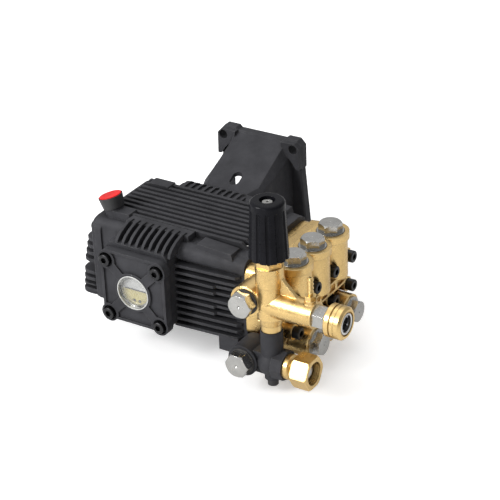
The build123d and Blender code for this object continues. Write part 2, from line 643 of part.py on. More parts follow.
def banjo_bolts():
    """Two hollow bolts that hold the unloader and the inlet body to the head."""
    bolts = []
    for line, radius in ((DISCHARGE_LINE, 6.95), (SUCTION_LINE, 7.95)):
        head = hexagon(24, 11.5)
        shank = Pos(0, 0, -22.5) * Cylinder(radius, 45)
        bolt = head + shank
        bolt -= Pos(0, 0, -34) * Cylinder(4.5, 46)
        bolt -= Pos(0, 0, -18) * Rot(90, 0, 0) * Cylinder(3, 30)
        bolt -= Pos(0, 0, 11) * Cone(0.1, 2.2, 1.6)
        bolts.append(facing_near(line[0], EYE_NEAR - 1.5, line[1]) * bolt)
    return group(bolts)


def banjo_washers():
    """Bonded seals on both sides of each banjo eye."""
    washers = []
    for line in (DISCHARGE_LINE, SUCTION_LINE):
        washers.append(facing_near(line[0], EYE_NEAR, line[1]) * tube(14, BANJO_R, 1.5))
        washers.append(facing_near(line[0], EYE_FAR, line[1]) * Pos(0, 0, -1.5) * tube(14, BANJO_R, 1.5))
    return group(washers)


def inlet_body():
    x, y = UNLOADER_X, UNLOADER_Y
    body = rod_z(11.6, INLET_Z, -3, x, y) + Pos(x, y, INLET_Z) * Sphere(15.5)
    body += rod_x(13.5, x, 172, y, INLET_Z)
    body += facing_x(167, y, INLET_Z) * extrude(RegularPolygon(15, 8, major_radius=False), 13)
    body += rod_y(17, EYE_NEAR, EYE_FAR, *SUCTION_LINE)
    body += box(SUCTION_LINE[0], x, -90, -70, INLET_Z - 12, INLET_Z + 12)
    body += rod_z(8.5, -60, INLET_Z, x, y)
    body -= rod_z(8.4, -31, -2, x, y) + rod_z(6, INLET_Z, -20, x, y)
    body -= rod_z(9.8, -6, -2, x, y)
    body -= rod_x(8, x, 182, y, INLET_Z)
    body -= rod_x(10, 168, 182, y, INLET_Z)
    body -= rod_x(6, SUCTION_LINE[0], x, y, INLET_Z)
    body -= rod_y(BANJO_R + 1.5, EYE_NEAR - 1, EYE_FAR + 1, *SUCTION_LINE)
    body -= rod_z(4, -62, INLET_Z, x, y)
    return body


def thermal_relief_valve():
    nub = rod_z(5.7, -67.8, -60) + rod_z(4, -60, -52)
    nub -= rod_z(1.5, -69, -50)
    return Pos(UNLOADER_X, UNLOADER_Y, 0) * nub


def inlet_tail():
    """Brass tail screwed into the inlet body; its flange holds the swivel nut."""
    y, z = UNLOADER_Y, INLET_Z
    tail = rod_x(10, 169, 181, y, z) + rod_x(13.4, 180, 185, y, z)
    tail += Pos(187, y, z) * Rot(0, 90, 0) * Cone(13.4, 10.2, 4)
    tail += rod_x(10.2, 188, 195.6, y, z) + rod_x(12.2, 195.6, 198, y, z)
    return tail - rod_x(7, 168, 200, y, z)


def inlet_swivel_nut():
    """Garden hose swivel nut, 3/4 inch, with round grooves standing for its thread."""
    nut = Rot(0, 0, 30) * extrude(RegularPolygon(16.25, 6, major_radius=False), NUT_LENGTH)
    rounded = Cylinder(19.0, NUT_LENGTH)
    rounded = chamfer(rounded.edges().filter_by(GeomType.CIRCLE), 1.8)
    nut &= Pos(0, 0, NUT_LENGTH / 2) * rounded
    nut -= Pos(0, 0, NUT_LENGTH / 2) * Cylinder(10.3, NUT_LENGTH + 2)
    nut -= rod_z(13.0, 4.4, 7.2)
    nut -= rod_z(12.4, 7.2, NUT_LENGTH + 1)
    for i in range(5):
        nut -= Pos(0, 0, 9.0 + 2.21 * i) * Cylinder(13.4, 1.1)
    return facing_x(NUT_START, UNLOADER_Y, INLET_Z) * nut


def chemical_injector():
    barb = rod_z(3.5, 37, 46) + Pos(0, 0, 44.5) * hexagon(11, 4.5)
    barb += rod_z(2.6, 49, 69)
    for i in range(4):
        barb += Pos(0, 0, 54 + 4.4 * i) * Cone(3.4, 2.5, 3.2)
    barb -= rod_z(1.3, 35, 72)
    return Pos(BARB_X, UNLOADER_Y, 0) * barb


def outlet_nipple():
    """Steel hexagon nipple between the unloader and the quick coupler."""
    nipple = facing_x(TUBE_END, UNLOADER_Y, TUBE_Z) * hexagon(22, NIPPLE_LENGTH)
    nipple += rod_x(9, TUBE_END - 11.5, TUBE_END, UNLOADER_Y, TUBE_Z)
    nipple += rod_x(8, TUBE_END + NIPPLE_LENGTH - 0.5, TUBE_END + NIPPLE_LENGTH + 3.4, UNLOADER_Y, TUBE_Z)
    return nipple - rod_x(5, TUBE_END - 20, TUBE_END + 20, UNLOADER_Y, TUBE_Z)


def coupler_body():
    """Inner body of the 3/8 inch quick coupler socket, with a round shoulder at its root."""
    y, z = UNLOADER_Y, TUBE_Z
    start = TUBE_END + NIPPLE_LENGTH + 0.2
    body = rod_x(13.6, start, start + 3.8, y, z) + rod_x(11.0, start, COUPLER_END - 1.5, y, z)
    body -= rod_x(8, start - 1, start + 3.5, y, z)
    body -= rod_x(8.6, start + 3.4, COUPLER_END, y, z)
    return body - rod_x(9.8, COUPLER_END - 3.5, COUPLER_END, y, z)


def coupler_sleeve():
    """Locking sleeve; its rear skirt runs back over the shoulder of the coupler body."""
    length = 18.4
    sleeve = Cylinder(17.1, length)
    sleeve = chamfer(sleeve.edges().filter_by(GeomType.CIRCLE).sort_by(Axis.Z)[-1], 2.2)
    sleeve = chamfer(sleeve.edges().filter_by(GeomType.CIRCLE).sort_by(Axis.Z)[0], 0.8)
    sleeve -= Pos(0, 0, -3.6) * tube(18, 15.4, 1.7)
    sleeve -= Pos(0, 0, 1.6) * tube(18, 16.6, 0.9)
    sleeve -= Pos(0, 0, -length / 2) * Cylinder(13.6 + RUNNING, 14.6)
    sleeve -= Pos(0, 0, length / 2) * Cylinder(12.6, 4)
    sleeve -= Cylinder(11.0 + RUNNING, length + 2)
    return facing_x(COUPLER_END - length / 2, UNLOADER_Y, TUBE_Z) * sleeve


# --- oil cap and drain -------------------------------------------------------

def oil_fill_cap():
    skirt = Pos(0, 0, 11) * Cone(11.6, 13.4, 13)
    cap_body = skirt - rod_z(12.2, 15, 18) - rod_z(10.9, 4, 6) + rod_z(8.0, -9, 7) + rod_z(2.2, -48, -9)
    return Pos(-58.5, -36.4, 57) * Rot(0, -17, 0) * cap_body


def oil_cap_disc():
    return Pos(-58.5, -36.4, 57) * Rot(0, -17, 0) * rod_z(12.2, 15, 18.4)


def sight_glass():
    return rod_y(18.4, COVER_FACE - 0.6, COVER_FACE + 3.2)


def sight_glass_ring():
    outer = ring_y(19.6, 18.4, COVER_FACE - 0.4, COVER_FACE + 6.5)
    return outer + ring_y(18.4, 16.5, COVER_FACE + 3.2, COVER_FACE + 6.5)


def oil_drain_plug():
    plug = hexagon(13, 5) + Pos(0, 0, -5) * Cylinder(5, 10)
    return Pos(*DRAIN, -46) * Rot(180, 0, 0) * plug


def save_drive_end():
    save(crankcase(), "crankcase")
    save(rear_cover(), "rear_cover")
    save(rear_cover_screws(), "rear_cover_screws")
    save(engine_flange(), "engine_flange")
    save(flange_bolts(), "flange_bolts")
    save(side_cover(), "side_cover")
    save(side_cover_screws(), "side_cover_screws")
    save(sight_glass(), "sight_glass")
    save(sight_glass_ring(), "sight_glass_ring")
    save(oil_fill_cap(), "oil_fill_cap")
    save(oil_cap_disc(), "oil_cap_disc")
    save(oil_drain_plug(), "oil_drain_plug")


def save_crank_train():
    save(crankshaft(), "crankshaft")
    save(bearing(NEAR_JOURNAL_R, NEAR_BEARING_R, -64, -48), "bearing_cover_side")
    save(bearing(FAR_JOURNAL_R, FAR_BEARING_R, 48, 66), "bearing_engine_side")
    save(ring_y(27, FAR_JOURNAL_R + RUNNING, 69, 77), "shaft_oil_seal")
    for index in range(3):
        save(con_rod(index), f"con_rod_{index + 1}")
        save(wrist_pin(index), f"wrist_pin_{index + 1}")
        save(plunger_guide(index), f"plunger_guide_{index + 1}")
        save(plunger(index), f"plunger_{index + 1}")
    save(plunger_seals(), "plunger_seals")
    save(packing_retainers(), "packing_retainers")


def save_head():
    save(pump_head(), "pump_head")
    save(head_bolts(), "head_bolts")
    frames = valve_frames()
    save(group(frame * valve_seat() for frame in frames), "valve_seats")
    save(group(frame * valve_cage() for frame in frames), "valve_cages")
    for index in range(3):
        save(frames[index] * valve_poppet(), f"suction_poppet_{index + 1}")
        save(frames[index + 3] * valve_poppet(), f"discharge_poppet_{index + 1}")
    save(discharge_caps(), "discharge_caps")
    save(suction_caps(), "suction_caps")


def save_fittings():
    save(unloader_body(), "unloader_body")
    save(unloader_collar(), "unloader_collar")
    save(unloader_knob(), "unloader_knob")
    save(unloader_screw(), "unloader_screw")
    save(unloader_spring_plate(), "unloader_spring_plate")
    save(unloader_spring(), "unloader_spring")
    save(unloader_piston(), "unloader_piston")
    save(bypass_tube(), "bypass_tube")
    save(banjo_bolts(), "banjo_bolts")
    save(banjo_washers(), "banjo_washers")
    save(inlet_body(), "inlet_body")
    save(inlet_tail(), "inlet_tail")
    save(inlet_swivel_nut(), "inlet_swivel_nut")
    save(thermal_relief_valve(), "thermal_relief_valve")
    save(chemical_injector(), "chemical_injector")
    save(outlet_nipple(), "outlet_nipple")
    save(coupler_body(), "coupler_body")
    save(coupler_sleeve(), "coupler_sleeve")


save_drive_end()
save_crank_train()
save_head()
save_fittings()
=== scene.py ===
import json
import math

import bmesh
import bpy
from mathutils import Matrix, Vector


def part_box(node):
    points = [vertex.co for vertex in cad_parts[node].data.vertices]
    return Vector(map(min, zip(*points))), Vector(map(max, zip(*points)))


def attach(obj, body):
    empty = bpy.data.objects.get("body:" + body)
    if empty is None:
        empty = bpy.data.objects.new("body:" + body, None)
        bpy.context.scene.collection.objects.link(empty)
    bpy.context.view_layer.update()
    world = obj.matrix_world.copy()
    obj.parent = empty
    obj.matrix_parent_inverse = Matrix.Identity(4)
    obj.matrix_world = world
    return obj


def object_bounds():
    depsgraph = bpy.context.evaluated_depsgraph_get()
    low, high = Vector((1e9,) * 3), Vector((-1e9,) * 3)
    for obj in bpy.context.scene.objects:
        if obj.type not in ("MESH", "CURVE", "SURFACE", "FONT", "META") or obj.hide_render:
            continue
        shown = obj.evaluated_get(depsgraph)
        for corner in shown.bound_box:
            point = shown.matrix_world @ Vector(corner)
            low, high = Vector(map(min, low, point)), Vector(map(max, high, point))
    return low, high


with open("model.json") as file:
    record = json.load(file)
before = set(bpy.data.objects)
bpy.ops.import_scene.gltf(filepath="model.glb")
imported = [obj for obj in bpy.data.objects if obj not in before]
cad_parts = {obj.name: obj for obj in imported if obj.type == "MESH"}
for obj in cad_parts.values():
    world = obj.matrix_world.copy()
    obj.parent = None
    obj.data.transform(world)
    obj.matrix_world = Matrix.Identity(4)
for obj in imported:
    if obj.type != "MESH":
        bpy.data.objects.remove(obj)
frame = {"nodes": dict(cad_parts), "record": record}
CAD_LOW, CAD_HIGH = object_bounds()
NODES = frame["nodes"]
MM = 0.001


# --- places, all read from the CAD nodes ---------------------------------------

def centre(node):
    low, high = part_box(node)
    return (low + high) / 2


# --- materials -----------------------------------------------------------------

class Graph:
    """A material made of shader nodes, in metres of the part's own frame."""

    def __init__(self, name):
        self.material = bpy.data.materials.new(name)
        self.material.use_nodes = True
        self.tree = self.material.node_tree
        self.tree.nodes.clear()
        self.place = self.add("ShaderNodeTexCoord").outputs["Object"]

    def add(self, kind, inputs=None, **properties):
        node = self.tree.nodes.new(kind)
        for key, value in properties.items():
            setattr(node, key, value)
        for key, value in (inputs or {}).items():
            if isinstance(value, bpy.types.NodeSocket):
                self.tree.links.new(value, node.inputs[key])
            else:
                node.inputs[key].default_value = value
        return node

    def noise(self, scale, detail=2.0, rough=0.5, stretch=None):
        place = self.place
        if stretch:
            place = self.add("ShaderNodeMapping", {"Vector": place, "Scale": stretch}).outputs[0]
        return self.add("ShaderNodeTexNoise", {"Vector": place, "Scale": scale, "Detail": detail,
                                               "Roughness": rough}).outputs["Fac"]

    def ramp(self, value, low, high, to_low=0.0, to_high=1.0):
        return self.add("ShaderNodeMapRange", {"Value": value, "From Min": low, "From Max": high,
                                               "To Min": to_low, "To Max": to_high}).outputs["Result"]

    def math(self, operation, a, b):
        return self.add("ShaderNodeMath", {0: a, 1: b}, operation=operation).outputs[0]

    def mix(self, share, a, b):
        node = self.add("ShaderNodeMix", {"Factor": share}, data_type="RGBA")
        for socket, value in ((node.inputs[6], a), (node.inputs[7], b)):
            if isinstance(value, bpy.types.NodeSocket):
                self.tree.links.new(value, socket)
            else:
                socket.default_value = (*value, 1.0)
        return node.outputs[2]

    def edges(self, radius, sharp):
        """(rounded normal, how much of an edge is here)."""
        rounded = self.add("ShaderNodeBevel", {"Radius": radius}, samples=6).outputs[0]
        plain = self.add("ShaderNodeNewGeometry").outputs["Normal"]
        along = self.add("ShaderNodeVectorMath", {0: rounded, 1: plain}, operation="DOT_PRODUCT")
        return rounded, self.ramp(along.outputs["Value"], 1.0, 1.0 - sharp)

    def shade(self, distance):
        """0 in a crevice, 1 in the open."""
        node = self.add("ShaderNodeAmbientOcclusion", {"Distance": distance}, samples=6, only_local=False)
        return node.outputs["AO"]

    def finish(self, colour, roughness, metallic, height, distance, normal, **extra):
        bump = self.add("ShaderNodeBump", {"Height": height, "Distance": distance, "Strength": 1.0,
                                           "Normal": normal})
        values = {"Base Color": colour, "Roughness": roughness, "Metallic": metallic,
                  "Normal": bump.outputs[0]}
        values.update({key.replace("_", " "): value for key, value in extra.items()})
        shader = self.add("ShaderNodeBsdfPrincipled", values)
        self.add("ShaderNodeOutputMaterial", {"Surface": shader.outputs[0]})
        return self.material


def scaled(colour, factor):
    return tuple(min(1.0, c * factor) for c in colour)


def painted_casting(name, colour, worn_and_highlight, grain=0.16 * MM, rough=(0.46, 0.66)):
    """Satin paint over a sand cast surface, lighter along its edges (partly rubbed paint, partly a painted
    highlight) and darkened in its crevices by painted shade.
    """
    g = Graph(name)
    normal, edge = g.edges(0.9 * MM, 0.30)
    cloud = g.noise(38, 4, 0.6)
    sand = g.noise(1500, 3, 0.65)
    lumps = g.noise(260, 2, 0.5)
    base = g.mix(g.ramp(cloud, 0.3, 0.7), scaled(colour, 0.78), scaled(colour, 1.25))
    base = g.mix(g.math("MULTIPLY", g.ramp(sand, 0.55, 0.8), 0.35), base, scaled(colour, 1.9))
    # lighter edges: rubbed paint and a painted highlight along the edges
    rub_and_highlight = g.math("MULTIPLY", edge, g.ramp(g.noise(170, 4, 0.7), 0.38, 0.72))
    base = g.mix(g.math("MULTIPLY", rub_and_highlight, 0.75), base, worn_and_highlight)
    # painted shade: darker in crevices, from an occlusion mask
    base = g.mix(g.ramp(g.shade(11 * MM), 0.25, 0.95, 0.6, 0.0), base, scaled(colour, 0.3))
    height = g.math("ADD", g.math("MULTIPLY", sand, 0.8), g.math("MULTIPLY", lumps, 0.7))
    return g.finish(base, g.ramp(g.noise(90, 3), 0.3, 0.7, *rough), 0.0, height, grain, normal,
                    Specular_IOR_Level=0.13)


def cast_brass(name, colour, dark, bright, grain=0.12 * MM, rough=(0.23, 0.37)):
    """Blasted cast brass: sandy, with brown painted shade in its corners, and bright along its edges, partly
    rubbed and partly a painted highlight.
    """
    g = Graph(name)
    normal, edge = g.edges(1.3 * MM, 0.35)
    cloud = g.noise(30, 4, 0.65)
    sand = g.noise(1250, 3, 0.7)
    base = g.mix(g.ramp(cloud, 0.32, 0.68), scaled(colour, 0.86), scaled(colour, 1.1))
    base = g.mix(g.ramp(sand, 0.4, 0.62, 0.35, 0.0), base, dark)
    # bright edges: rubbed brass and a painted highlight
    base = g.mix(g.math("MULTIPLY", edge, 0.7), base, bright)
    # painted shade: darker and browner in crevices, from an occlusion mask
    base = g.mix(g.ramp(g.shade(10 * MM), 0.10, 0.7, 0.7, 0.0), base, dark)
    height = g.math("ADD", sand, g.math("MULTIPLY", g.noise(330, 2), 0.6))
    return g.finish(base, g.ramp(g.noise(140, 3), 0.3, 0.7, *rough), 1.0, height, grain, normal)


def turned_metal(name, colour, rough=(0.2, 0.34), stretch=(1, 1, 1), tarnish=0.25, radius=0.4 * MM):
    """Machined metal with fine tool marks, a cloudy film, bright corners that are a painted highlight, and
    painted shade in its crevices.
    """
    g = Graph(name)
    normal, edge = g.edges(radius, 0.3)
    film = g.noise(70, 4, 0.7)
    marks = g.noise(2200, 2, 0.5, stretch)
    base = g.mix(g.ramp(film, 0.35, 0.75, 0.0, tarnish), colour, scaled(colour, 0.45))
    # painted highlight: corners lighter than the metal
    base = g.mix(g.math("MULTIPLY", edge, 0.5), base, scaled(colour, 1.35))
    # painted shade: darker in crevices, from an occlusion mask
    base = g.mix(g.ramp(g.shade(7 * MM), 0.2, 0.9, 0.55, 0.0), base, scaled(colour, 0.25))
    return g.finish(base, g.ramp(g.noise(160, 3), 0.3, 0.7, *rough), 1.0, marks, 0.006 * MM, normal)


def moulded_plastic(name, colour, rough=(0.2, 0.32), grain=0.02 * MM, coat=0.0, sheen=0.5):
    g = Graph(name)
    normal, edge = g.edges(0.6 * MM, 0.3)
    base = g.mix(g.ramp(g.noise(60, 3), 0.3, 0.7), scaled(colour, 0.8), scaled(colour, 1.25))
    # painted highlight: edges lighter than the plastic
    base = g.mix(g.math("MULTIPLY", edge, 0.35), base, scaled(colour, 1.8))
    return g.finish(base, g.ramp(g.noise(120, 4, 0.7), 0.3, 0.7, *rough), 0.0, g.noise(900, 3), grain,
                    normal, Coat_Weight=coat, Coat_Roughness=0.12, Specular_IOR_Level=sheen)


def matt_rubber(name, colour):
    g = Graph(name)
    normal, edge = g.edges(0.4 * MM, 0.3)
    base = g.mix(g.ramp(g.noise(200, 4), 0.3, 0.7), scaled(colour, 0.7), scaled(colour, 1.4))
    # painted highlight: edges lighter than the rubber
    base = g.mix(g.math("MULTIPLY", edge, 0.4), base, scaled(colour, 2.0))
    return g.finish(base, g.ramp(g.noise(300, 3), 0.3, 0.7, 0.55, 0.8), 0.0, g.noise(1800, 3), 0.06 * MM,
                    normal)


def clear_lens(name):
    """Thin clear pane: nearly see-through when faced, whiter where it is seen from the side, which is a
    painted reflection.
    """
    g = Graph(name)
    smear = g.noise(150, 4, 0.6)
    normal = g.add("ShaderNodeNewGeometry").outputs["Normal"]
    slant = g.add("ShaderNodeLayerWeight", {"Blend": 0.35}).outputs["Fresnel"]
    # film: the smear's faint haze, plus a painted reflection that grows with the slant
    film = g.math("ADD", g.ramp(smear, 0.3, 0.75, 0.01, 0.03), g.math("MULTIPLY", slant, 0.12))
    base = g.mix(smear, (0.80, 0.83, 0.82), (0.95, 0.96, 0.95))
    return g.finish(base, g.ramp(smear, 0.3, 0.7, 0.05, 0.12), 0.0, smear, 0.01 * MM, normal, Alpha=film)


def oil_level(name):
    """Reflector behind the sight glass: silvery above the oil and straw coloured below, with painted shade in
    its crevices.
    """
    g = Graph(name)
    height = g.add("ShaderNodeSeparateXYZ", {0: g.place}).outputs["Z"]
    cloud = g.noise(180, 4, 0.6)
    air = g.mix(g.ramp(cloud, 0.3, 0.7), (0.80, 0.81, 0.81), (1.0, 1.0, 1.0))
    oil = g.mix(g.ramp(cloud, 0.3, 0.7), (0.84, 0.70, 0.22), (0.96, 0.83, 0.32))
    base = g.mix(g.ramp(height, -0.3 * MM, 0.3 * MM), oil, air)
    # painted shade: near black in crevices, from an occlusion mask
    base = g.mix(g.ramp(g.shade(5 * MM), 0.35, 1.0, 0.85, 0.0), base, (0.06, 0.055, 0.045))
    normal = g.add("ShaderNodeNewGeometry").outputs["Normal"]
    return g.finish(base, g.ramp(cloud, 0.3, 0.7, 0.3, 0.45), 0.15, g.noise(900, 3), 0.02 * MM, normal)


BLACK = (0.036, 0.036, 0.040)
BRASS = (0.88, 0.63, 0.27)
# BRASS_DARK: dark specks of the sand grain, and the painted shade in corners
BRASS_DARK = (0.33, 0.18, 0.06)
# BRASS_BRIGHT: the colour of rubbed edges, partly a painted highlight
BRASS_BRIGHT = (1.0, 0.82, 0.50)
SILVER = (0.52, 0.515, 0.495)

FINISHES = {
    # the third colour is the edge colour: partly rubbed paint, partly a painted highlight
    "cast_black": painted_casting("cast_black", BLACK, (0.17, 0.168, 0.165)),
    "brass_cast": cast_brass("brass_cast", BRASS, BRASS_DARK, BRASS_BRIGHT),
    "brass_machined": turned_metal("brass_machined", (0.86, 0.61, 0.26), (0.25, 0.38), tarnish=0.35),
    "zinc_steel": turned_metal("zinc_steel", SILVER, (0.17, 0.30), tarnish=0.35),
    "black_oxide": turned_metal("black_oxide", (0.05, 0.05, 0.052), (0.3, 0.45)),
    "gloss_black": moulded_plastic("gloss_black", (0.007, 0.007, 0.009), (0.22, 0.34), coat=0.0, sheen=0.09),
    "red_plastic": moulded_plastic("red_plastic", (0.66, 0.012, 0.012), (0.3, 0.45), sheen=0.15),
    "black_plastic": moulded_plastic("black_plastic", (0.022, 0.022, 0.023), (0.4, 0.55), 0.05 * MM),
    "window": clear_lens("window"),
    "steel_ground": turned_metal("steel_ground", (0.55, 0.56, 0.58), (0.16, 0.28), (1, 9, 1)),
    "bearing_steel": turned_metal("bearing_steel", (0.5, 0.51, 0.53), (0.15, 0.25)),
    "rod_alloy": turned_metal("rod_alloy", (0.6, 0.61, 0.62), (0.4, 0.55)),
    "stainless": turned_metal("stainless", (0.62, 0.63, 0.64), (0.2, 0.3), (1, 1, 9)),
    "ceramic": moulded_plastic("ceramic", (0.85, 0.83, 0.78), (0.1, 0.2), coat=0.5),
    "seal_rubber": matt_rubber("seal_rubber", (0.022, 0.022, 0.022)),
    "bonded_seal": matt_rubber("bonded_seal", (0.035, 0.033, 0.031)),
    "spring_steel": turned_metal("spring_steel", (0.45, 0.46, 0.48), (0.25, 0.4)),
    "cage_plastic": moulded_plastic("cage_plastic", (0.09, 0.09, 0.1), (0.4, 0.55)),
    "ring_metal": turned_metal("ring_metal", (0.72, 0.72, 0.70), (0.26, 0.4)),
}
OIL_LEVEL = oil_level("oil_level")


def dress_cad_nodes():
    slots = {part["node"]: part["material_slot"] for part in frame["record"]["subparts"]}
    for name, piece in NODES.items():
        piece.data.materials.clear()
        piece.data.materials.append(FINISHES[slots[name]])


# --- pieces built here -----------------------------------------------------------

def new_piece(name, mesh, slot, body, finish=None):
    data = bpy.data.meshes.new(name)
    mesh.normal_update()
    mesh.to_mesh(data)
    mesh.free()
    piece = bpy.data.objects.new(name, data)
    bpy.context.scene.collection.objects.link(piece)
    data.materials.append(finish or FINISHES[slot])
    for face in data.polygons:
        face.use_smooth = True
    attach(piece, body)
    return piece


def lathe(profile, origin, axis, steps=72):
    """Turns (radius, distance along the axis) points round an axis; ends on the axis close."""
    turn = Vector(axis).to_track_quat("Z", "Y").to_matrix()
    mesh = bmesh.new()
    rings = []
    for radius, along in profile:
        ring = []
        for i in range(steps if radius > 0 else 1):
            angle = math.tau * i / steps
            local = Vector((radius * math.cos(angle), radius * math.sin(angle), along))
            ring.append(mesh.verts.new(Vector(origin) + turn @ local * MM))
        rings.append(ring)
    for one, two in zip(rings, rings[1:]):
        for i in range(steps):
            corners = [one[i % len(one)], one[(i + 1) % len(one)], two[(i + 1) % len(two)], two[i % len(two)]]
            corners = list(dict.fromkeys(corners))
            if len(corners) > 2:
                mesh.faces.new(corners)
    bmesh.ops.recalc_face_normals(mesh, faces=mesh.faces)
    return mesh


def ring(inner, outer, start, end, round_off=0.3):
    """Closed profile of a ring for lathe(), its four corners taken off."""
    r = round_off
    return [(inner, start + r), (inner + r, start), (outer - r, start), (outer, start + r), (outer, end - r),
            (outer - r, end), (inner + r, end), (inner, end - r), (inner, start + r)]


def star(tips, outer, inner, origin, axis, thickness):
    """Star-shaped plate standing on its origin, its tips and valleys rounded."""
    turn = Vector(axis).to_track_quat("Z", "Y").to_matrix()
    mesh = bmesh.new()
    rows = []
    for shrink, along in ((0.9, 0.0), (1.0, 0.15), (1.0, 0.85), (0.9, 1.0)):
        row = []
        for i in range(tips * 12):
            angle = math.tau * i / (tips * 12)
            radius = inner + (outer - inner) * (0.5 + 0.5 * math.cos(tips * angle)) ** 2
            local = Vector((math.cos(angle), math.sin(angle), 0)) * radius * shrink
            local.z = along * thickness
            row.append(mesh.verts.new(Vector(origin) + turn @ local * MM))
        rows.append(row)
    for one, two in zip(rows, rows[1:]):
        for i in range(len(one)):
            j = (i + 1) % len(one)
            mesh.faces.new((one[i], one[j], two[j], two[i]))
    mesh.faces.new(rows[-1])
    mesh.faces.new(rows[0][::-1])
    bmesh.ops.recalc_face_normals(mesh, faces=mesh.faces)
    return mesh


SIGHT_DISH = [(0, 0), (14.6, 0), (15.8, 0.7), (16.4, 2.6), (16.4, -0.9), (0, -0.9)]
SIGHT_HOLE = [(0, 0.5), (1.3, 0.45), (1.6, 0.2), (1.6, -0.2), (0, -0.2)]
SIGHT_HOLE_ASIDE, SIGHT_HOLE_DROP = 3.4, 12.6
LEVEL_LINE_REACH = 15.2
LEVEL_LINE = ((-0.75, -0.2), (-0.55, 0.3), (0.55, 0.3), (0.75, -0.2))     # (height, rise off the reflector)


def sight_window():
    """What is seen through the sight glass: a dished reflector, the oil and two small holes in it, drawn as
    dark discs of painted shade.
    """
    middle = centre("sight_glass_ring")
    back = (middle.x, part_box("sight_glass_ring")[1].y + 0.3 * MM, middle.z)
    out = (0, -1, 0)
    new_piece("sight_reflector", lathe(SIGHT_DISH, back, out), "ring_metal", "pump_frame", OIL_LEVEL)
    # painted shade: dark discs stand where the two holes show shade
    for name, side in (("sight_hole_shade_near", -SIGHT_HOLE_ASIDE), ("sight_hole_shade_far", SIGHT_HOLE_ASIDE)):
        place = (middle.x + side * MM, back[1], middle.z - SIGHT_HOLE_DROP * MM)
        new_piece(name, lathe(SIGHT_HOLE, place, out), "seal_rubber", "pump_frame")
    bar = bmesh.new()
    rows = []
    for along, rise in LEVEL_LINE:
        half = math.sqrt(LEVEL_LINE_REACH ** 2 - along ** 2)
        rows.append([bar.verts.new((middle.x + side * half * MM, back[1] - rise * MM, middle.z + along * MM))
                     for side in (-1, -0.5, 0, 0.5, 1)])
    for one, two in zip(rows, rows[1:]):
        for i in range(len(one) - 1):
            bar.faces.new((one[i], one[i + 1], two[i + 1], two[i]))
    new_piece("sight_level_line", bar, "seal_rubber", "pump_frame")


COUPLER_BALLS, BALL_R, BALL_CIRCLE_R, BALL_DEPTH = 5, 1.5, 7.9, 2.4
VALVE_DEPTH = 11
VALVE_TIP = [(0, 2.8), (3.4, 2.9), (3.2, 4.6), (2.4, 5.6), (0, 6.0)]


def coupler_inside():
    """Snap ring, a dark sleeve of painted shade in the bore, locking balls, seal and shut-off valve seen in
    the mouth of the quick coupler.
    """
    middle = centre("coupler_body")
    mouth = (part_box("coupler_body")[1].x, middle.y, middle.z)
    along = (1, 0, 0)
    for name, profile, slot in (("coupler_snap_ring", ring(8.8, 11.2, 0.05, 1.35, 0.5), "ring_metal"),
                                # painted shade: a dark sleeve over the bore wall
                                ("coupler_bore_shade", ring(7.9, 8.6, -10.5, -0.3, 0.2), "black_oxide"),
                                ("coupler_seal", ring(6.4, 7.85, -6.5, -4.2, 0.6), "seal_rubber")):
        new_piece(name, lathe(profile, mouth, along), slot, "pump_frame")
    angles = [math.pi * i / 10 for i in range(1, 10)]
    ball = [(0, -BALL_R)] + [(BALL_R * math.sin(a), -BALL_R * math.cos(a)) for a in angles] + [(0, BALL_R)]
    for i in range(COUPLER_BALLS):
        angle = math.tau * (i + 0.5) / COUPLER_BALLS
        spot = (mouth[0] - BALL_DEPTH * MM, middle.y + BALL_CIRCLE_R * MM * math.cos(angle),
                middle.z + BALL_CIRCLE_R * MM * math.sin(angle))
        new_piece(f"coupler_ball_{i + 1}", lathe(ball, spot, along, 20), "bearing_steel", "pump_frame")
    back = (mouth[0] - VALVE_DEPTH * MM, middle.y, middle.z)
    new_piece("coupler_valve", star(4, 7.6, 3.2, back, along, 3.0), "zinc_steel", "pump_frame")
    new_piece("coupler_valve_tip", lathe(VALVE_TIP, back, along), "black_oxide", "pump_frame")


STRAINER_R, STRAINER_BASE, STRAINER_RISE, STRAINER_RIDGES = 9.6, 4.6, 3.4, 16


def hose_washer():
    """Rubber washer with a fine domed strainer, in the bottom of the swivel nut."""
    middle = centre("inlet_swivel_nut")
    place = (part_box("inlet_tail")[1].x, middle.y, middle.z)
    along = (1, 0, 0)
    new_piece("hose_washer", lathe(ring(8.6, 12.2, 0.1, 4.4, 0.5), place, along), "seal_rubber", "pump_frame")
    dome = [(STRAINER_R, 4.3)]
    for i in range(STRAINER_RIDGES + 1):
        share = i / STRAINER_RIDGES
        rise = STRAINER_RISE * math.sin(share * math.pi / 2) + 0.25 * (i % 2)
        dome.append((STRAINER_R * (1 - share), STRAINER_BASE + rise))
    new_piece("inlet_strainer", lathe(dome, place, along), "rod_alloy", "pump_frame")


VENT_SCREW = [(0, -1.0), (3.6, -1.0), (3.6, 1.6), (3.1, 2.3), (1.6, 2.5), (1.3, 1.2), (0, 1.2)]
VENT_BEHIND_HEAD, VENT_ASIDE, VENT_HEIGHT = 15, 31, 52


def vent_screw():
    """Small silver screw between the top fins, next to the head."""
    place = (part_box("pump_head")[0].x - VENT_BEHIND_HEAD * MM, centre("pump_head").y - VENT_ASIDE * MM,
             VENT_HEIGHT * MM)
    new_piece("vent_screw", lathe(VENT_SCREW, place, (0, 0, 1), 48), "zinc_steel", "pump_frame")


def build_all():
    dress_cad_nodes()
    sight_window()
    coupler_inside()
    hose_washer()
    vent_screw()


# --- stage -------------------------------------------------------------------------

